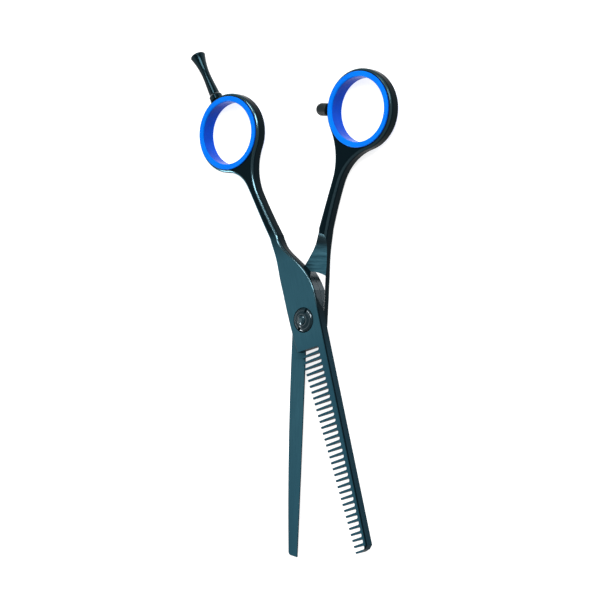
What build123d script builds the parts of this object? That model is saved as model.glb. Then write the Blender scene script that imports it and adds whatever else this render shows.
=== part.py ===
from build123d import *
from math import asin, cos, radians, sin, sqrt
import os

# Thinning shears: a comb blade and a plain blade on one adjustable pivot.
# Both halves are drawn closed, with the blades along -Y, the handles along +Y
# and the pivot on the Z axis, and are then swung apart to their half-open rest.
# Z = 0 is the plane that the back of the pivot bolt rests on.

# ---------------------------------------------------------------- driving dimensions (mm)
OPEN_ANGLE = 19.0            # swing between the drawn closed pose and the rest pose
MEET_Z = 3.10                # height where the two inner faces meet
RIDE_GAP = 0.04              # running gap between the two ride faces
PLATE_THICKNESS = 2.88       # each half beside the pivot

BLADE_TIP_Y = -74.05
CHOIL_Y = -9.15              # where the pivot plate ends and the blade begins
SPINE_TIP_X = 6.65           # spine of the comb at the blade's tip
PLATE_TOP_Y = 8.0            # where the plates pass into the flared shanks

TOOTH_COUNT = 34
TOOTH_PITCH = 1.910
GAP_WIDTH = 1.22             # between two teeth, ending in a round root
TOOTH_TIP_THICKNESS = 0.55

FINGER_RING = (-15.9, 66.05)     # ring centres, measured closed
THUMB_RING = (15.8, 65.70)
RING_OUTER_R = 12.7
RING_BORE_R = 10.6
RING_MID_Z = 2.90
RING_THICKNESS = 4.20
RIM_ROUND = 1.1              # rounding of the rings and of their necks

INSERT_HOLE_R = 10.0
INSERT_FLANGE_R = 11.75
INSERT_FLANGE = 0.5
INSERT_FIT = 0.03            # radial gap between an insert and its steel ring

BOLT_HEAD_R = 4.4
BOLT_HEAD_HEIGHT = 1.2
BOLT_HEAD_PROUD = 0.20
BOLT_KEY = 4.6               # side of the square neck that stops the bolt turning
BOLT_KEY_HEIGHT = 1.7
BOLT_SHANK_R = 2.0
BOLT_THREAD_R = 1.375
BOLT_TOP_Z = 7.5
BOLT_DOME = 0.45
BUSH_WALL = 0.5
RUNNING_FIT = 0.05
KEY_FIT = 0.04

NUT_R = 3.70
NUT_RECESS_R = 3.95
NUT_RECESS_DEPTH = 1.40
NUT_CREST_Z = 6.95
NUT_SLOT = 0.9
NUT_SLOT_DEPTH = 1.25
NUT_SLOT_ANGLE = 60.0
WASHER_THICKNESS = 0.35
SPRING_RISE = 0.40
SPRING_STOCK = 0.22

REST_ANGLE = 15.0            # finger rest axis, leaning outwards from the ring's top
REST_LENGTH = 17.6
REST_STUD_R = 1.3
REST_STUD_DEPTH = 2.0
REST_WASHER_R = 2.2
REST_WASHER_THICKNESS = 0.6

BUMPER_R = 2.0
BUMPER_LENGTH = 4.3
BUMPER_DOME = 1.8
BUMPER_STUD_R = 1.1
BUMPER_STUD_DEPTH = 1.9
BUMPER_STUD_IN_CAP = 1.6
BUMPER_GAP = 0.6             # neck of stud that shows between ring and cap
HOLE_END_GAP = 0.05          # left free at the bottom of the bumper's hole

# ---------------------------------------------------------------- worked-out levels
PLAIN_FACE_Z = MEET_Z - RIDE_GAP / 2
COMB_FACE_Z = MEET_Z + RIDE_GAP / 2
PLAIN_BACK_Z = PLAIN_FACE_Z - PLATE_THICKNESS
COMB_FRONT_Z = COMB_FACE_Z + PLATE_THICKNESS
RING_LOW_Z = RING_MID_Z - RING_THICKNESS / 2
RING_HIGH_Z = RING_MID_Z + RING_THICKNESS / 2
RECESS_FLOOR_Z = COMB_FRONT_Z - NUT_RECESS_DEPTH
WASHER_TOP_Z = RECESS_FLOOR_Z + WASHER_THICKNESS
SHOULDER_Z = WASHER_TOP_Z + SPRING_RISE + SPRING_STOCK
BUSH_BORE_R = BOLT_SHANK_R + RUNNING_FIT
BUSH_R = BUSH_BORE_R + BUSH_WALL

# Sections of each shank from the plate to the neck below the ring:
# x and y of the middle, lowest and highest z, width, corner rounding,
# rounding of the front corner on the blade's spine side, lean in degrees.
FINGER_SHANK = (
    (0.125, 8.0, 1.60, 6.00, 12.45, 0.5, 0.6, 0),
    (-0.38, 12.0, 1.40, 6.00, 11.55, 0.5, 0.7, 0),
    (-1.35, 16.0, 1.20, 6.00, 9.80, 0.6, 0.9, 0),
    (-2.98, 20.0, 1.00, 5.85, 6.80, 0.8, 0.9, 4),
    (-4.97, 24.0, 0.85, 5.45, 4.15, 1.0, 1.0, 10),
    (-6.20, 28.5, 0.80, 5.00, 3.45, 1.0, 1.0, 14),
)
THUMB_SHANK = (
    (-0.43, 8.0, 0.20, 4.90, 11.85, 1.1, 1.1, 0),
    (-0.04, 12.0, 0.20, 5.00, 10.90, 1.1, 1.1, 0),
    (0.80, 16.0, 0.25, 5.00, 9.10, 1.1, 1.1, 0),
    (2.14, 20.0, 0.40, 5.00, 6.50, 1.1, 1.1, -4),
    (3.60, 24.0, 0.60, 5.00, 4.25, 1.1, 1.1, -9),
    (4.43, 28.5, 0.80, 5.00, 3.60, 1.0, 1.0, -13),
)

# Plan of each neck from the last shank section into the ring, drawn as on the
# finger side: distance from the centre line, y, width, lean. Then the radii
# that blend the neck into the ring outside and inside the handles.
FINGER_NECK = ((6.20, 28.5, 3.45, 14.0), (8.40, 36.0, 3.15, 15.5), (10.08, 42.5, 3.0, 14.5))
FINGER_BLENDS = (9.5, 17.0)
THUMB_NECK = ((4.43, 28.5, 3.60, 13.0), (6.10, 35.6, 3.15, 14.5), (7.80, 42.0, 3.0, 16.0))
THUMB_BLENDS = (16.0, 20.0)
NECK_OVERRUN = 15.0          # from the last neck section into the ring

# The relief ground into each half behind the pivot is a groove that runs round
# the pivot, just outside the half-moon ride face.
RIDE_R = 15.1
RELIEF_DEPTH = 0.26
RELIEF_ARC_R = 20.0
RELIEF_EXIT_RISE = 2.4       # how far past the ride face the groove climbs
RELIEF_CLEAR = 5.0

# Comb blade.
TIP_LINE_START_X = -5.6      # tooth tips beside the plate, and how they draw in to the blade's tip
TIP_LINE_SLOPE = 0.089
ROOT_LINE_START_X = 3.5      # gap roots beside the plate, and how they curve out to the spine
ROOT_LINE_SLOPE = 0.0475
ROOT_LINE_BOW = 0.00024
BEVEL_RIDGE_X = (4.1, 5.9)   # where the bevel of the teeth begins, at the choil and the tip
BEVEL_CLEAR = 1.0
FIRST_GAP_STEP = 0.65        # from the choil to the middle of the first gap
PLATE_CHAMFER = 0.35
SPINE_ROUND = 0.6
COMB_TIP_CUT = ((5.5, -73.6), (4.0, -74.0))   # the cut corner between spine and last tooth
COMB_TIP_CORNER_Y = -72.5
COMB_PLATE_SIDE = ((-5.1, -9.15), (-5.85, 0), (-6.1, 8.0))
COMB_PLATE_INNER = ((6.35, 8.0), (6.35, 3.0))

# Plain blade.
PLAIN_SPINE = ((-6.5, -5.0), (-5.35, -38.0), (-2.9, -72.6))
PLAIN_TIP = ((-2.55, -73.55), (-1.5, -73.9))
PLAIN_EDGE = ((0.6, -74.15), (-0.15, -38.0), (-1.0, -8.8))
PLAIN_CHOIL = ((1.6, -6.6), (5.6, -1.5))
PLAIN_PLATE_TOP = ((5.5, 8.0), (-6.35, 8.0))
PLATE_BACK_ROUND = 1.1
PLAIN_BEVEL = ((-8.6, -4.6, -0.8), (-75.05, -2.2, 0.7))   # y, ridge x, edge x at both ends
CUTTING_EDGE = 0.45          # thickness left at the plain blade's cutting edge

HOLLOW_R = 22.0
HOLLOW_DEPTH = 0.12
COMB_HOLLOW = ((1.2, -11.2), (3.4, -75.05))
PLAIN_HOLLOW = ((-3.7, -12.2), (-1.1, -75.05))

INSERT_LIP_ROUND = 0.45
INSERT_RIM_ROUND = 0.18

REST_DIRECTION = Vector(-sin(radians(REST_ANGLE)), cos(radians(REST_ANGLE)), 0)
SEAT_DEPTH = 0.05            # of a flat cut into the ring's round outside
REST_SEAT = Plane(
    origin=Vector(*FINGER_RING, RING_MID_Z) + REST_DIRECTION * (RING_OUTER_R - SEAT_DEPTH),
    x_dir=(0, 0, 1),
    z_dir=REST_DIRECTION,
)
REST_WAIST = ((1.72, 2.1), (1.60, 4.5), (1.38, 10.2), (1.82, 14.2), (2.46, 16.7))
REST_CROWN = ((2.38, 17.15), (2.0, 17.4))
BUMPER_SEAT = Plane(
    origin=(THUMB_RING[0] - RING_OUTER_R, 65.55, RING_MID_Z),
    x_dir=(0, 0, 1),
    z_dir=(-1, 0, 0),
)
UPWARDS = (Align.CENTER, Align.CENTER, Align.MIN)


# ---------------------------------------------------------------- shared shapes
def bar_outline(w, h, corner, spine_corner):
    """Rounded rectangle of half width w and half height h, its front on the -Y side."""
    with BuildLine() as outline:
        CenterArc((w - spine_corner, spine_corner - h), spine_corner, -90, 90)
        Line((w, spine_corner - h), (w, h - corner))
        CenterArc((w - corner, h - corner), corner, 0, 90)
        Line((w - corner, h), (corner - w, h))
        CenterArc((corner - w, h - corner), corner, 90, 90)
        Line((-w, h - corner), (-w, corner - h))
        CenterArc((corner - w, corner - h), corner, 180, 90)
        Line((corner - w, -h), (w - spine_corner, -h))
    return outline.line


def lofted_shank(sections):
    """Rounded bars that flow from the flat plate into the neck of the ring."""
    bars = []
    for x, y, low, high, width, corner, spine_corner, lean in sections:
        across = (cos(radians(lean)), sin(radians(lean)), 0)
        along = (-sin(radians(lean)), cos(radians(lean)), 0)
        middle = (x, y, (low + high) / 2)
        with BuildSketch(Plane(origin=middle, x_dir=across, z_dir=along)) as bar:
            make_face(bar_outline(width / 2, (high - low) / 2, corner, spine_corner).edges())
        bars.append(bar.sketch.face())
    loft(bars)


def neck_side(neck, hand):
    """Points along one side of a neck on the left, and one more well inside the ring."""
    points = []
    for offset, y, width, lean in neck:
        half = hand * width / 2
        points.append((-offset + half * cos(radians(lean)), y + half * sin(radians(lean))))
    end_x = points[-1][0] - NECK_OVERRUN * sin(radians(lean))
    end_y = points[-1][1] + NECK_OVERRUN * cos(radians(lean))
    return points, (end_x, end_y)


def ring_plan(centre, neck, blends):
    """Plan of a ring on the left and its neck, blended into each other on both sides."""
    outer, outer_end = neck_side(neck, -1)
    inner, inner_end = neck_side(neck, 1)
    with BuildSketch(Plane.XY.offset(RING_LOW_Z)) as plan:
        with Locations(centre):
            Circle(RING_OUTER_R)
        with BuildLine():
            Polyline(outer[-1], outer_end, inner_end, inner[-1])
            Spline(inner[::-1])
            Line(inner[0], outer[0])
            Spline(outer)
        make_face()
        meeting = plan.vertices().filter_by_position(Axis.Y, 50, 60).sort_by(Axis.X)
        inner_corner = Vector(meeting[-1])
        fillet(meeting[0], blends[0])
        rest = plan.vertices().sort_by(lambda v: (Vector(v) - inner_corner).length)
        fillet(rest[0], blends[1])
    return plan.sketch


def ring_with_neck(centre, neck, blends):
    """Rounded ring with its neck and finger hole, on the left."""
    with BuildPart() as ring:
        add(ring_plan(centre, neck, blends))
        extrude(amount=RING_THICKNESS)
        rims = ring.edges().filter_by(lambda e: abs(e.center().Z - RING_LOW_Z) < 0.01)
        rims += ring.edges().filter_by(lambda e: abs(e.center().Z - RING_HIGH_Z) < 0.01)
        neck_end = ring.faces().sort_by(Axis.Y)[0]
        fillet([e for e in rims if e not in neck_end.edges()], RIM_ROUND)
        with Locations((*centre, RING_MID_Z)):
            Cylinder(RING_BORE_R, 2 * RING_THICKNESS, mode=Mode.SUBTRACT)
    return ring.part


def relief_cut(face_z, up):
    """Turned cut that leaves the half-moon ride flat and grinds a groove behind it."""
    half_chord = sqrt(RELIEF_DEPTH * (2 * RELIEF_ARC_R - RELIEF_DEPTH))
    rise = RELIEF_EXIT_RISE + RELIEF_DEPTH
    groove_r = RIDE_R + half_chord
    exit_r = groove_r + sqrt(rise * (2 * RELIEF_ARC_R - rise))
    ride = (RIDE_R, face_z)
    bottom = (groove_r, face_z - up * RELIEF_DEPTH)
    leave = (exit_r, face_z + up * RELIEF_EXIT_RISE)
    far_z = face_z + up * RELIEF_CLEAR
    with BuildSketch(Plane.XZ) as section:
        with BuildLine():
            Polyline(leave, (exit_r, far_z), (0, far_z), (0, face_z), ride)
            ThreePointArc(ride, bottom, leave)
        make_face()
    revolve(section.sketch, axis=Axis.Z, revolution_arc=180, mode=Mode.SUBTRACT)


def hollow_grind(face_z, up, path):
    """Shallow hollow along a blade's inner face, a long round cutter's path."""
    (root_x, root_y), (tip_x, tip_y) = path
    start = Vector(root_x, root_y, face_z + up * (HOLLOW_R - HOLLOW_DEPTH))
    run = Vector(tip_x - root_x, tip_y - root_y, 0)
    with BuildSketch(Plane(origin=start, z_dir=run)) as cutter:
        Circle(HOLLOW_R)
    extrude(cutter.sketch, amount=run.length, mode=Mode.SUBTRACT)


def bevel_section(y, ridge, edge, reach, outside_z):
    """Wedge across a blade at y, from a ridge down through an edge, to be lofted as a cut."""
    slope = (edge[1] - ridge[1]) / (edge[0] - ridge[0])
    far = (edge[0] + reach, edge[1] + slope * reach)
    with BuildSketch(Plane.XZ.offset(-y)) as wedge:
        with BuildLine():
            Polyline(ridge, far, (far[0], outside_z), (ridge[0], outside_z), close=True)
        make_face()
    return wedge.sketch.face()


def tooth_line_x(y):
    return TIP_LINE_START_X + (CHOIL_Y - y) * TIP_LINE_SLOPE


def root_line_x(y):
    along = CHOIL_Y - y
    return ROOT_LINE_START_X + along * ROOT_LINE_SLOPE - along * along * ROOT_LINE_BOW


def comb_outline():
    """Pivot plate and comb blank, straight along the spine and cut back at the tip."""
    spine_top = COMB_PLATE_INNER[-1]
    spine_end = (SPINE_TIP_X, COMB_TIP_CORNER_Y)
    last_tooth = (tooth_line_x(BLADE_TIP_Y), BLADE_TIP_Y)
    with BuildLine() as outline:
        Polyline(COMB_PLATE_SIDE[-1], COMB_PLATE_INNER[0], spine_top, spine_end)
        Polyline(spine_end, *COMB_TIP_CUT, (COMB_TIP_CUT[-1][0] - 0.6, BLADE_TIP_Y), last_tooth)
        Polyline(last_tooth, (tooth_line_x(CHOIL_Y), CHOIL_Y), COMB_PLATE_SIDE[0])
        ThreePointArc(*COMB_PLATE_SIDE)
    return outline.line


def plain_outline():
    """Pivot plate and plain blade, the spine bowed and the cutting edge nearly straight."""
    with BuildLine() as outline:
        Polyline(*PLAIN_PLATE_TOP, PLAIN_SPINE[0])
        ThreePointArc(*PLAIN_SPINE)
        ThreePointArc(PLAIN_SPINE[-1], *PLAIN_TIP)
        Line(PLAIN_TIP[-1], PLAIN_EDGE[0])
        ThreePointArc(*PLAIN_EDGE)
        ThreePointArc(PLAIN_EDGE[-1], *PLAIN_CHOIL)
        Line(PLAIN_CHOIL[-1], PLAIN_PLATE_TOP[0])
    return outline.line


def tooth_gap(y):
    """One gap between two teeth, open past the tips and round at its root."""
    root_x = root_line_x(y) - GAP_WIDTH / 2
    mouth_x = tooth_line_x(y) - 1
    half = GAP_WIDTH / 2
    with BuildLine() as outline:
        Polyline((root_x, y - half), (mouth_x, y - half), (mouth_x, y + half), (root_x, y + half))
        ThreePointArc((root_x, y + half), (root_x + half, y), (root_x, y - half))
    make_face(outline.line.edges())


def dome(rim, crown):
    """Arc from a rim to a crown on the turning axis, level at the crown."""
    reach = rim[0]
    height = crown[1] - rim[1]
    radius = (reach * reach + height * height) / (2 * height)
    half_angle = asin(reach / radius) / 2
    middle = (radius * sin(half_angle), crown[1] - radius * (1 - cos(half_angle)))
    ThreePointArc(rim, middle, crown)


# ---------------------------------------------------------------- comb half (finger side)
finger_ring = ring_with_neck(FINGER_RING, FINGER_NECK, FINGER_BLENDS)

with BuildPart() as comb_half:
    with BuildSketch(Plane.XY.offset(COMB_FACE_Z)):
        make_face(comb_outline().edges())
    extrude(amount=PLATE_THICKNESS)
    # Bevel that thins the teeth from the back of the comb to their tips.
    wedges = []
    for y, ridge_x in zip((CHOIL_Y, BLADE_TIP_Y - BEVEL_CLEAR), BEVEL_RIDGE_X):
        ridge = (ridge_x, COMB_FRONT_Z)
        tooth_tip = (tooth_line_x(y), COMB_FACE_Z + TOOTH_TIP_THICKNESS)
        wedges.append(bevel_section(y, ridge, tooth_tip, -BEVEL_CLEAR, COMB_FRONT_Z + 1))
    loft(wedges, ruled=True, mode=Mode.SUBTRACT)
    # Front edges: a small chamfer beside the choil, a full round along the spine.
    front = comb_half.faces().filter_by(Axis.Z).sort_by(Axis.Z)[-1]
    chamfer(front.edges().filter_by(lambda e: e.center().X < -5), PLATE_CHAMFER)
    front = comb_half.faces().filter_by(Axis.Z).sort_by(Axis.Z)[-1]
    fillet(front.edges().filter_by(lambda e: e.center().X > 6.1), SPINE_ROUND)
    with BuildSketch(Plane.XY.offset(COMB_FACE_Z)):
        for i in range(TOOTH_COUNT):
            tooth_gap(CHOIL_Y - FIRST_GAP_STEP - i * TOOTH_PITCH)
    extrude(amount=PLATE_THICKNESS + 1, mode=Mode.SUBTRACT)
    hollow_grind(COMB_FACE_Z, -1, COMB_HOLLOW)
    lofted_shank(FINGER_SHANK)
    relief_cut(COMB_FACE_Z, -1)
    add(finger_ring)
    # Recess for the nut and washers, and the bore for the bush.
    with Locations((0, 0, COMB_FRONT_Z)):
        CounterBoreHole(BUSH_R, NUT_RECESS_R, NUT_RECESS_DEPTH, depth=PLATE_THICKNESS + 1)
    # Spot face and tapped hole for the finger rest.
    with Locations(REST_SEAT):
        Cylinder(REST_WASHER_R + 0.1, 1, align=UPWARDS, mode=Mode.SUBTRACT)
    with Locations(REST_SEAT.offset(-REST_STUD_DEPTH)):
        Cylinder(REST_STUD_R, 2 * REST_STUD_DEPTH, align=UPWARDS, mode=Mode.SUBTRACT)

# ---------------------------------------------------------------- plain half (thumb side)
THUMB_RING_ON_LEFT = (-THUMB_RING[0], THUMB_RING[1])
thumb_ring = mirror(ring_with_neck(THUMB_RING_ON_LEFT, THUMB_NECK, THUMB_BLENDS), about=Plane.YZ)

with BuildPart() as plain_half:
    with BuildSketch(Plane.XY.offset(PLAIN_BACK_Z)):
        make_face(plain_outline().edges())
    extrude(amount=PLATE_THICKNESS)
    # Rounded back rim of the plate on the handle side of the blade.
    back = plain_half.faces().filter_by(Axis.Z).sort_by(Axis.Z)[0]
    rim = back.edges().filter_by(lambda e: e.center().X > 1 and e.center().Y > CHOIL_Y)
    fillet(rim.filter_by(lambda e: e.center().Y < PLATE_TOP_Y - 0.1), PLATE_BACK_ROUND)
    # Back bevel that runs from the spine to the cutting edge.
    wedges = []
    for y, ridge_x, edge_x in PLAIN_BEVEL:
        ridge = (ridge_x, PLAIN_BACK_Z)
        edge = (edge_x, PLAIN_FACE_Z - CUTTING_EDGE)
        wedges.append(bevel_section(y, ridge, edge, BEVEL_CLEAR + 0.5, PLAIN_BACK_Z - 1))
    loft(wedges, ruled=True, mode=Mode.SUBTRACT)
    hollow_grind(PLAIN_FACE_Z, 1, PLAIN_HOLLOW)
    lofted_shank(THUMB_SHANK)
    relief_cut(PLAIN_FACE_Z, 1)
    add(thumb_ring)
    # Back pocket for the bolt head and the square hole that keys the bolt.
    with Locations((0, 0, PLAIN_BACK_Z)):
        Cylinder(BOLT_HEAD_R + RUNNING_FIT, 2 * (BOLT_HEAD_HEIGHT - BOLT_HEAD_PROUD), mode=Mode.SUBTRACT)
        Box(BOLT_KEY, BOLT_KEY, 3 * PLATE_THICKNESS, mode=Mode.SUBTRACT)
    # Tapped hole for the bumper stud.
    with Locations(BUMPER_SEAT.offset(-BUMPER_STUD_DEPTH)):
        Cylinder(BUMPER_STUD_R, 2 * BUMPER_STUD_DEPTH, align=UPWARDS, mode=Mode.SUBTRACT)

# ---------------------------------------------------------------- ring inserts
INSERT_LOW_Z = RING_LOW_Z - INSERT_FLANGE
INSERT_HIGH_Z = RING_HIGH_Z + INSERT_FLANGE

with BuildPart() as ring_insert:
    # Half section of a flanged plastic bush, its lips rounded towards the finger.
    with BuildSketch(Plane.XZ) as bush_section:
        with BuildLine():
            body_r = RING_BORE_R - INSERT_FIT
            Polyline(
                (INSERT_HOLE_R, INSERT_LOW_Z),
                (INSERT_FLANGE_R, INSERT_LOW_Z),
                (INSERT_FLANGE_R, RING_LOW_Z),
                (body_r, RING_LOW_Z),
                (body_r, RING_HIGH_Z),
                (INSERT_FLANGE_R, RING_HIGH_Z),
                (INSERT_FLANGE_R, INSERT_HIGH_Z),
                (INSERT_HOLE_R, INSERT_HIGH_Z),
                close=True,
            )
        make_face()
        fillet(bush_section.vertices().group_by(Axis.X)[0], INSERT_LIP_ROUND)
        rims = bush_section.vertices().group_by(Axis.X)[-1].sort_by(Axis.Y)
        fillet([rims[0], rims[-1]], INSERT_RIM_ROUND)
    revolve(axis=Axis.Z)

# ---------------------------------------------------------------- pivot set
with BuildPart() as pivot_bolt:
    with BuildSketch(Plane.XZ):
        with BuildLine():
            dome_foot = (BOLT_THREAD_R, BOLT_TOP_Z - BOLT_DOME)
            Polyline(
                (0, BOLT_TOP_Z),
                (0, 0),
                (BOLT_HEAD_R, 0),
                (BOLT_HEAD_R, BOLT_HEAD_HEIGHT),
                (BOLT_SHANK_R, BOLT_HEAD_HEIGHT),
                (BOLT_SHANK_R, SHOULDER_Z),
                (BOLT_THREAD_R, SHOULDER_Z),
                dome_foot,
            )
            dome(dome_foot, (0, BOLT_TOP_Z))
        make_face()
    revolve(axis=Axis.Z)
    chamfer(pivot_bolt.edges().filter_by(GeomType.CIRCLE).sort_by(Axis.Z)[0], 0.25)
    with BuildSketch(Plane.XY.offset(BOLT_HEAD_HEIGHT)):
        Rectangle(BOLT_KEY - KEY_FIT, BOLT_KEY - KEY_FIT)
    extrude(amount=BOLT_KEY_HEIGHT)

with BuildPart() as pivot_bush:
    with BuildSketch(Plane.XY.offset(COMB_FACE_Z)):
        Circle(BUSH_R)
        Circle(BUSH_BORE_R, mode=Mode.SUBTRACT)
    extrude(amount=RECESS_FLOOR_Z - COMB_FACE_Z)

with BuildPart() as nylon_washer:
    with BuildSketch(Plane.XY.offset(RECESS_FLOOR_Z)):
        Circle(NUT_R - 0.1)
        Circle(BUSH_BORE_R, mode=Mode.SUBTRACT)
    extrude(amount=WASHER_THICKNESS)

with BuildPart() as spring_washer:
    # Shallow cone of sheet steel, high at the hole and low at the rim.
    with BuildSketch(Plane.XZ):
        with BuildLine():
            rim_r = NUT_R - 0.2
            hole_r = BOLT_SHANK_R + 2 * RUNNING_FIT
            Polyline(
                (rim_r, WASHER_TOP_Z),
                (rim_r, WASHER_TOP_Z + SPRING_STOCK),
                (hole_r, SHOULDER_Z),
                (hole_r, SHOULDER_Z - SPRING_STOCK),
                close=True,
            )
        make_face()
    revolve(axis=Axis.Z)

with BuildPart() as tension_nut:
    with BuildSketch(Plane.XZ):
        with BuildLine():
            rim = (NUT_R, COMB_FRONT_Z)
            rim_round = (NUT_R - 0.35, COMB_FRONT_Z + 0.42)
            cone_foot = (NUT_R - 0.9, COMB_FRONT_Z + 0.6)
            ThreePointArc(rim, rim_round, cone_foot)
            Polyline(
                cone_foot,
                (BOLT_THREAD_R + 0.55, NUT_CREST_Z),
                (BOLT_THREAD_R + 0.25, NUT_CREST_Z),
                (BOLT_THREAD_R, NUT_CREST_Z - 0.25),
                (BOLT_THREAD_R, SHOULDER_Z),
                (NUT_R, SHOULDER_Z),
                rim,
            )
        make_face()
    revolve(axis=Axis.Z)
    # Two driver slots across the rim.
    with BuildSketch(Plane.XY.offset(COMB_FRONT_Z - 0.3)):
        with Locations(Rotation(0, 0, NUT_SLOT_ANGLE)):
            with Locations((NUT_R, 0), (-NUT_R, 0)):
                Rectangle(2 * NUT_SLOT_DEPTH, NUT_SLOT)
    extrude(amount=2, mode=Mode.SUBTRACT)

# ---------------------------------------------------------------- finger rest
with BuildPart() as finger_rest_washer:
    with BuildSketch(REST_SEAT):
        Circle(REST_WASHER_R)
        Circle(REST_STUD_R + 0.02, mode=Mode.SUBTRACT)
    extrude(amount=REST_WASHER_THICKNESS)

with BuildPart() as finger_rest:
    # Half section beside the rest's own axis: stud, collar, waist, flared and domed end.
    across = Vector(0, 0, 1).cross(REST_DIRECTION)
    collar_r = REST_WASHER_R - 0.05
    stud_end = 0.2 - REST_STUD_DEPTH
    with BuildSketch(Plane(origin=REST_SEAT.origin, x_dir=(0, 0, 1), z_dir=across)):
        with BuildLine():
            Polyline(
                (0, REST_LENGTH),
                (0, stud_end),
                (REST_STUD_R, stud_end),
                (REST_STUD_R, REST_WASHER_THICKNESS),
                (collar_r, REST_WASHER_THICKNESS),
                (collar_r, REST_WASHER_THICKNESS + 0.9),
                REST_WAIST[0],
            )
            Spline(*REST_WAIST)
            ThreePointArc(REST_WAIST[-1], *REST_CROWN)
            dome(REST_CROWN[-1], (0, REST_LENGTH))
        make_face()
    revolve(axis=Axis(REST_SEAT.origin, REST_SEAT.z_dir))

# ---------------------------------------------------------------- bumper
with BuildPart() as bumper_stud:
    with BuildSketch(BUMPER_SEAT.offset(HOLE_END_GAP - BUMPER_STUD_DEPTH)):
        Circle(BUMPER_STUD_R)
    extrude(amount=BUMPER_STUD_DEPTH - HOLE_END_GAP + BUMPER_GAP + BUMPER_STUD_IN_CAP)

with BuildPart() as bumper_cap:
    with BuildSketch(BUMPER_SEAT.offset(BUMPER_GAP)):
        Circle(BUMPER_R)
    extrude(amount=BUMPER_LENGTH)
    fillet(bumper_cap.edges().filter_by(GeomType.CIRCLE).sort_by(Axis.X)[0], BUMPER_DOME)
    fillet(bumper_cap.edges().filter_by(GeomType.CIRCLE).sort_by(Axis.X)[-1], 0.3)
    with BuildSketch(BUMPER_SEAT.offset(BUMPER_GAP)):
        Circle(BUMPER_STUD_R)
    extrude(amount=BUMPER_STUD_IN_CAP, mode=Mode.SUBTRACT)

# ---------------------------------------------------------------- place and write
FINGER_SWING = OPEN_ANGLE / 2
THUMB_SWING = -OPEN_ANGLE / 2
finger_insert = ring_insert.part.moved(Location((*FINGER_RING, 0)))
thumb_insert = ring_insert.part.moved(Location((*THUMB_RING, 0)))

placed = (
    ("comb_half", comb_half.part, FINGER_SWING),
    ("plain_half", plain_half.part, THUMB_SWING),
    ("finger_ring_insert", finger_insert, FINGER_SWING),
    ("thumb_ring_insert", thumb_insert, THUMB_SWING),
    ("pivot_bolt", pivot_bolt.part, THUMB_SWING),
    ("pivot_bush", pivot_bush.part, FINGER_SWING),
    ("nylon_washer", nylon_washer.part, FINGER_SWING),
    ("spring_washer", spring_washer.part, THUMB_SWING),
    ("tension_nut", tension_nut.part, 0),
    ("finger_rest_washer", finger_rest_washer.part, FINGER_SWING),
    ("finger_rest", finger_rest.part, FINGER_SWING),
    ("bumper_stud", bumper_stud.part, THUMB_SWING),
    ("bumper_cap", bumper_cap.part, THUMB_SWING),
)

os.makedirs("parts", exist_ok=True)
for node, part, swing in placed:
    turned = part.rotate(Axis.Z, swing)
    turned.label = node
    export_step(turned, f"parts/{node}.step")
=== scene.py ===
"""Looks for the thinning shears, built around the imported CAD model."""

import math

import bpy
from mathutils import Matrix, Vector

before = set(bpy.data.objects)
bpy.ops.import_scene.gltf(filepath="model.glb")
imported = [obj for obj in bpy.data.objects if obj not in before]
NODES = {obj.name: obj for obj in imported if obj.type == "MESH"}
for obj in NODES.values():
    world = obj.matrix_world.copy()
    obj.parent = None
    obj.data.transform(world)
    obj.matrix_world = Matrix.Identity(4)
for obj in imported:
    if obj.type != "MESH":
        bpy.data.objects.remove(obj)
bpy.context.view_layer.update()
MM = 0.001


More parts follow.
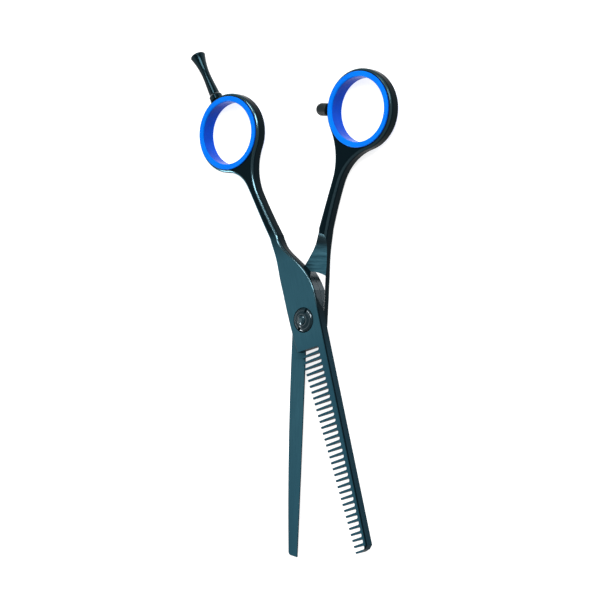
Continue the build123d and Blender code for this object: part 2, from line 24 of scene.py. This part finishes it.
# ---------------------------------------------------------------- node helpers
class Tree:
    """A small builder for one material's node tree."""

    def __init__(self, name):
        self.material = bpy.data.materials.new(name)
        self.material.use_nodes = True
        self.nodes = self.material.node_tree.nodes
        self.links = self.material.node_tree.links
        self.shader = self.nodes["Principled BSDF"]

    def add(self, kind, **settings):
        node = self.nodes.new(kind)
        for key, value in settings.items():
            setattr(node, key, value)
        return node

    def feed(self, socket, value):
        """Link a socket to another socket, or set it to a number or a colour."""
        if isinstance(value, (int, float)):
            socket.default_value = value
        elif isinstance(value, tuple):
            socket.default_value = (*value, 1)
        else:
            self.links.new(value, socket)

    def place(self, rotation=(0, 0, 0), scale=(1, 1, 1)):
        """Object coordinates, turned and scaled."""
        coords = self.add("ShaderNodeTexCoord")
        mapping = self.add("ShaderNodeMapping")
        mapping.inputs["Rotation"].default_value = rotation
        mapping.inputs["Scale"].default_value = scale
        self.feed(mapping.inputs["Vector"], coords.outputs["Object"])
        return mapping.outputs["Vector"]

    def local(self, swing):
        """Position in mm on a half as it lies when closed: the vector and (x, y, z)."""
        vector = self.place(rotation=(0, 0, math.radians(-swing)), scale=(1000, 1000, 1000))
        split = self.add("ShaderNodeSeparateXYZ")
        self.feed(split.inputs[0], vector)
        return vector, split.outputs

    def facing(self):
        """How far the surface faces up: 1 upward, 0 sideways, -1 downward."""
        coords = self.add("ShaderNodeTexCoord")
        split = self.add("ShaderNodeSeparateXYZ")
        self.feed(split.inputs[0], coords.outputs["Normal"])
        return split.outputs[2]

    def noise(self, vector, scale, detail=3.0, roughness=0.6):
        node = self.add("ShaderNodeTexNoise")
        node.inputs["Scale"].default_value = scale
        node.inputs["Detail"].default_value = detail
        node.inputs["Roughness"].default_value = roughness
        self.feed(node.inputs["Vector"], vector)
        return node.outputs["Fac"]

    def stretched(self, vector, scale, detail=3.0, roughness=0.6):
        """Noise pulled out along an axis by unequal scales."""
        mapping = self.add("ShaderNodeMapping")
        mapping.inputs["Scale"].default_value = scale
        self.feed(mapping.inputs["Vector"], vector)
        return self.noise(mapping.outputs["Vector"], 1.0, detail, roughness)

    def ramp(self, factor, stops):
        node = self.add("ShaderNodeValToRGB")
        elements = node.color_ramp.elements
        while len(elements) < len(stops):
            elements.new(0.5)
        for element, (position, colour) in zip(elements, stops):
            element.position = position
            element.color = (*colour, 1)
        self.feed(node.inputs["Fac"], factor)
        return node.outputs["Color"]

    def span(self, factor, low, high, from_low=0.0, from_high=1.0):
        """Low to high while the factor goes from from_low to from_high, clamped."""
        node = self.add("ShaderNodeMapRange")
        node.inputs["From Min"].default_value = from_low
        node.inputs["From Max"].default_value = from_high
        node.inputs["To Min"].default_value = low
        node.inputs["To Max"].default_value = high
        self.feed(node.inputs["Value"], factor)
        return node.outputs["Result"]

    def calc(self, operation, *values):
        node = self.add("ShaderNodeMath", operation=operation)
        for socket, value in zip(node.inputs, values):
            self.feed(socket, value)
        return node.outputs[0]

    def times(self, a, b):
        return self.calc("MULTIPLY", a, b)

    def blend(self, factor, a, b):
        """The number a, or b where the factor is 1."""
        return self.calc("ADD", self.times(a, self.calc("SUBTRACT", 1.0, factor)), self.times(factor, b))

    def mix(self, factor, a, b):
        """The colour a, or b where the factor is 1."""
        node = self.add("ShaderNodeMix", data_type="RGBA")
        for index, value in ((0, factor), (6, a), (7, b)):
            self.feed(node.inputs[index], value)
        return node.outputs[2]

    def off_axis(self, x, y):
        """Distance from the pivot axis."""
        return self.calc("SQRT", self.calc("ADD", self.times(x, x), self.times(y, y)))

    def bump(self, height, strength, distance):
        node = self.add("ShaderNodeBump")
        node.inputs["Strength"].default_value = strength
        node.inputs["Distance"].default_value = distance
        self.feed(node.inputs["Height"], height)
        self.feed(self.shader.inputs["Normal"], node.outputs["Normal"])

    def set(self, **values):
        """Set or link the shader's sockets, by name with _ for a space."""
        for key, value in values.items():
            self.feed(self.shader.inputs[key.replace("_", " ")], value)


# ---------------------------------------------------------------- colours
TEAL = (0.028, 0.088, 0.118)
TEAL_DARK = (0.018, 0.060, 0.082)
# painted shade: a darker copy of the coat for blade faces that turn sideways
PAINTED_SHADE_TEAL = (0.0045, 0.019, 0.029)
TEAL_COMB = (0.013, 0.050, 0.075)
STREAK_LIGHT = (0.050, 0.135, 0.175)
STREAK_DARK = (0.014, 0.046, 0.064)
COAT_TINT = (0.35, 0.80, 1.0)
# painted shade: black for the plate's sides and for the slopes between flat and side
PAINTED_SHADE_BLACK = (0.0015, 0.0050, 0.0070)
# painted highlight: a brighter metallic colour for the rounded edges
PAINTED_EDGE_HIGHLIGHT = (0.060, 0.110, 0.130)
BLACK = (0.0012, 0.0045, 0.0065)
STEEL = (0.86, 0.88, 0.90)
STEEL_DULL = (0.80, 0.82, 0.84)

# ---------------------------------------------------------------- the two halves
HALF_OPEN = 9.5                      # each half is turned this far from closed (degrees)
RIDE_R = 15.1                        # half-moon ride behind the pivot (mm)
RIDE_Z = 3.08
RIDE_Z_TOLERANCE = 0.03
FLAT_FROM, FLAT_FULL = 0.86, 0.94    # facing at which a face counts as a flat
ROUNDED_FULL, ROUNDED_TO = 0.90, 0.97
SIDE_TO, SLOPE_FROM = 0.20, 0.32
COAT_GLOSS = 0.03                    # low, so the white floor doesn't grey the black sides
MICRON = 1e-6


def comb_flats(t, y, flat):
    """The comb blade is darker than its plate."""
    return t.mix(t.span(y, 0.62, 0.0, -14.0, -4.0), flat, TEAL_COMB)


def plain_flats(t, vector, y, up, flat):
    """The plain blade darkens to its tip, and the scoop behind the ride is streaked."""
    flat = t.mix(t.span(y, 0.60, 0.0, -74.0, -30.0), flat, TEAL_COMB)
    strokes = t.stretched(vector, (0.10, 1.1, 1.1), 4.0, 0.65)
    ground = t.ramp(strokes, [(0.38, STREAK_DARK), (0.50, TEAL), (0.66, STREAK_LIGHT)])
    on_scoop = t.times(t.span(y, 0.0, 0.8, 10.0, 14.0), t.calc("GREATER_THAN", up, 0.0))
    return t.mix(on_scoop, flat, ground)


def ride_mask(t, x, y, z):
    """1 on the half-moon that the halves turn on, 0 elsewhere."""
    inside = t.calc("LESS_THAN", t.off_axis(x, y), RIDE_R)
    behind = t.calc("GREATER_THAN", y, 0.0)
    level = t.calc("COMPARE", z, RIDE_Z, RIDE_Z_TOLERANCE)
    return t.times(t.times(inside, behind), level)


def half_finish(name, swing, glossy_from, glossy_to, ride, painted_highlight_strength):
    """Blue-black coat on one half: brushed on the flats, black gloss on the handle."""
    t = Tree(name)
    vector, (x, y, z) = t.local(swing)
    up = t.facing()
    level_by = t.calc("ABSOLUTE", up)
    grain = t.stretched(vector, (9.0, 0.12, 9.0))
    cloud = t.stretched(vector, (0.09, 0.05, 0.09), 2.0)

    flat = t.ramp(grain, [(0.30, TEAL_DARK), (0.70, TEAL)])
    flat = t.mix(t.span(cloud, 0.0, 0.45, 0.35, 0.70), flat, TEAL_DARK)
    flat = plain_flats(t, vector, y, up, flat) if ride else comb_flats(t, y, flat)
    is_flat = t.span(level_by, 0.0, 1.0, FLAT_FROM, FLAT_FULL)
    # painted shade: faces turned sideways are dark teal on the blades and black on the plate, and the
    # slopes between flat and side are black
    side = t.mix(t.span(y, 1.0, 0.0, -12.0, 2.0), PAINTED_SHADE_BLACK, PAINTED_SHADE_TEAL)
    blade = t.mix(t.span(level_by, 0.0, 1.0, SIDE_TO, SLOPE_FROM), side, PAINTED_SHADE_BLACK)
    blade = t.mix(is_flat, blade, flat)
    gloss = t.span(y, 0.0, 1.0, glossy_from, glossy_to)
    colour = t.mix(gloss, blade, BLACK)

    # the rounded edges of plate and handle catch the light in a thin line
    rounded = t.span(level_by, 1.0, 0.0, ROUNDED_FULL, ROUNDED_TO)
    on_edge = t.times(rounded, t.span(y, 0.0, 1.0, 0.0, 6.0))
    rough = t.blend(gloss, t.span(grain, 0.34, 0.48), 0.14)
    rough = t.blend(on_edge, rough, 0.17)
    # painted highlight: edges that face part-way up get a brighter metallic colour, so the lamps show in
    # them as thin lines
    painted_highlight = t.times(t.span(level_by, 1.0, 0.0, 0.88, 0.97), t.span(level_by, 0.0, 1.0, 0.40, 0.60))
    painted_highlight = t.times(painted_highlight, t.span(y, 0.0, painted_highlight_strength, 2.0, 10.0))
    colour = t.mix(painted_highlight, colour, PAINTED_EDGE_HIGHLIGHT)
    metal = t.calc("MAXIMUM", t.times(t.span(gloss, 0.55, 0.0), is_flat), painted_highlight)

    if ride:
        bare = ride_mask(t, x, y, z)
        polished = t.ramp(t.stretched(vector, (0.6, 12.0, 6.0)), [(0.3, STEEL_DULL), (0.7, STEEL)])
        colour = t.mix(bare, colour, polished)
        rough = t.blend(bare, rough, 0.07)
        metal = t.calc("MAXIMUM", metal, bare)

    t.set(Base_Color=colour, Roughness=rough, Metallic=metal)
    t.set(Specular_IOR_Level=COAT_GLOSS, Specular_Tint=COAT_TINT)
    t.bump(t.times(grain, t.span(gloss, 1.0, 0.05)), 0.10, 20 * MICRON)
    return t.material


# ---------------------------------------------------------------- the small pieces
def plain_finish(name, light, dark, roughness, level=0.5, tint=(1, 1, 1)):
    """A moulded or coated surface with fine grain and a slow drift of colour."""
    t = Tree(name)
    grain = t.noise(t.place(), 4000)
    cloud = t.noise(t.place(), 160.0, 2.0, 0.5)
    t.set(Base_Color=t.ramp(cloud, [(0.3, dark), (0.7, light)]))
    t.set(Roughness=t.span(grain, roughness * 0.85, roughness * 1.2))
    t.set(Specular_IOR_Level=level, Specular_Tint=tint)
    t.bump(grain, 0.05, 20 * MICRON)
    return t.material


def insert_plastic():
    """Blue plastic with painted shade: the bore walls get a deeper blue than the flange."""
    t = Tree("blue insert")
    grain = t.noise(t.place(), 5000)
    cloud = t.noise(t.place(), 110.0, 2.0, 0.5)
    flange = t.ramp(cloud, [(0.3, (0.0008, 0.120, 0.60)), (0.7, (0.0015, 0.155, 0.72))])
    bore_shaded_blue = t.ramp(cloud, [(0.3, (0.0002, 0.040, 0.36)), (0.7, (0.0003, 0.058, 0.46))])
    # painted shade: faces that turn sideways, the bore walls, take the darker blue
    wall_shade_mask = t.span(t.calc("ABSOLUTE", t.facing()), 1.0, 0.0, 0.1, 0.7)
    t.set(Base_Color=t.mix(wall_shade_mask, flange, bore_shaded_blue), Roughness=t.span(grain, 0.20, 0.27))
    t.set(Specular_IOR_Level=0.06, Specular_Tint=(0.10, 0.50, 1.0))
    t.bump(grain, 0.04, 20 * MICRON)
    return t.material


def turned_metal(name, light, dark, roughness, metallic, level):
    """Lathe-turned metal: fine rings about the pivot axis."""
    t = Tree(name)
    _, (x, y, _) = t.local(0)
    rings = t.calc("SINE", t.times(t.off_axis(x, y), 60.0))
    rings = t.span(rings, 0.0, 1.0, -1.0, 1.0)
    grain = t.noise(t.place(), 4000)
    mixed = t.calc("ADD", t.times(rings, 0.5), t.times(grain, 0.5))
    t.set(Base_Color=t.ramp(mixed, [(0.2, dark), (0.8, light)]))
    t.set(Roughness=t.span(mixed, roughness * 0.8, roughness * 1.25))
    t.set(Metallic=metallic, Specular_IOR_Level=level)
    t.bump(mixed, 0.08, 10 * MICRON)
    return t.material


gloss_black = plain_finish("gloss black", (0.0014, 0.0050, 0.0070), (0.0008, 0.0030, 0.0042), 0.13,
                           level=0.20, tint=COAT_TINT)
nylon = plain_finish("nylon", (0.78, 0.78, 0.74), (0.70, 0.70, 0.66), 0.5)

FINISHES = {
    "comb_half": half_finish("coated steel comb", HALF_OPEN, 20.0, 31.0, ride=False, painted_highlight_strength=0.85),
    "plain_half": half_finish("coated steel plain", -HALF_OPEN, 21.0, 24.5, ride=True, painted_highlight_strength=0.35),
    "finger_ring_insert": insert_plastic(),
    "thumb_ring_insert": insert_plastic(),
    "pivot_bolt": turned_metal("blackened bolt", (0.020, 0.060, 0.078), (0.008, 0.028, 0.038),
                               0.16, 0.45, 0.7),
    "tension_nut": turned_metal("blackened nut", (0.012, 0.036, 0.048), (0.004, 0.014, 0.019),
                                0.16, 0.35, 0.7),
    "pivot_bush": nylon,
    "nylon_washer": nylon,
    "spring_washer": turned_metal("spring steel", (0.46, 0.47, 0.49), (0.36, 0.37, 0.38), 0.3, 1.0, 0.5),
    "finger_rest_washer": gloss_black,
    "finger_rest": gloss_black,
    "bumper_stud": gloss_black,
    "bumper_cap": plain_finish("black rubber", (0.004, 0.010, 0.012), (0.002, 0.005, 0.006), 0.55,
                               level=0.2),
}
for node_name, finish in FINISHES.items():
    slots = NODES[node_name].data.materials
    if not slots:
        slots.append(finish)
    for i in range(len(slots)):
        slots[i] = finish


# ---------------------------------------------------------------- stage and light
FLOOR_SIZE = 6.0
FLOOR_GREY = (0.50, 0.50, 0.50)
FLOOR_GLOW = 0.82                    # part self-lit, so the floor comes out white
WORLD_STRENGTH = 0.20


def build_stage():
    bpy.ops.mesh.primitive_plane_add(size=FLOOR_SIZE, location=(0, 0, 0))
    floor = bpy.context.object
    floor.name = "floor"
    t = Tree("pale floor")
    t.set(Base_Color=FLOOR_GREY, Roughness=0.9, Specular_IOR_Level=0.1)
    t.set(Emission_Color=(1, 1, 1), Emission_Strength=FLOOR_GLOW)
    floor.data.materials.append(t.material)
    world = bpy.data.worlds.new("studio")
    bpy.context.scene.world = world
    world.use_nodes = True
    sky = world.node_tree.nodes["Background"]
    sky.inputs["Color"].default_value = (1, 1, 1, 1)
    sky.inputs["Strength"].default_value = WORLD_STRENGTH


def softbox(name, bearing, lean, distance, size, radiance):
    """A rectangular light: bearing about Z from +X and lean from Z, in degrees."""
    bearing, lean = math.radians(bearing), math.radians(lean)
    across = math.sin(lean)
    toward = Vector((across * math.cos(bearing), across * math.sin(bearing), math.cos(lean)))
    data = bpy.data.lights.new(name, "AREA")
    data.shape = "RECTANGLE"
    data.size, data.size_y = size
    data.energy = radiance * math.pi * size[0] * size[1]
    lamp = bpy.data.objects.new(name, data)
    bpy.context.scene.collection.objects.link(lamp)
    lamp.location = toward * distance
    lamp.rotation_mode = "QUATERNION"
    lamp.rotation_quaternion = toward.to_track_quat("Z", "Y")


# ---------------------------------------------------------------- camera
VIEW_YAW = math.radians(39.3)        # right of straight above
VIEW_PITCH = math.radians(-1.0)
VIEW_ROLL = math.radians(-5.075)     # the picture's upright against the bisector of the handles
VIEW_DISTANCE = 0.760
VIEW_TARGET = Vector((-4.30, 6.3, 2.4)) * MM
LENS = 145.9
SENSOR_WIDTH = 36


def build_camera():
    turn = Matrix.Rotation(VIEW_ROLL, 3, "Z")
    back = Vector((math.sin(VIEW_YAW) * math.cos(VIEW_PITCH), math.sin(VIEW_PITCH),
                   math.cos(VIEW_YAW) * math.cos(VIEW_PITCH)))
    right = Vector((0, 1, 0)).cross(back).normalized()
    up = back.cross(right)
    back, right, up, target = (turn @ v for v in (back, right, up, VIEW_TARGET))
    data = bpy.data.cameras.new("camera")
    data.sensor_width = SENSOR_WIDTH
    data.lens = LENS
    data.clip_start, data.clip_end = 0.01, 20
    camera = bpy.data.objects.new("camera", data)
    bpy.context.scene.collection.objects.link(camera)
    axes = Matrix((right, up, back)).transposed().to_4x4()
    camera.matrix_world = Matrix.Translation(target + back * VIEW_DISTANCE) @ axes
    bpy.context.scene.camera = camera


build_stage()
softbox("side softbox", 40, 47, 1.0, (0.36, 0.52), 17.0)
softbox("back softbox", 82, 46, 1.0, (0.34, 0.34), 12.0)
softbox("left fill", 180, 42, 1.2, (1.0, 1.2), 1.15)
softbox("low kicker", 213, 74, 0.9, (0.28, 0.28), 22.0)
build_camera()
bpy.context.scene.view_settings.view_transform = "Standard"
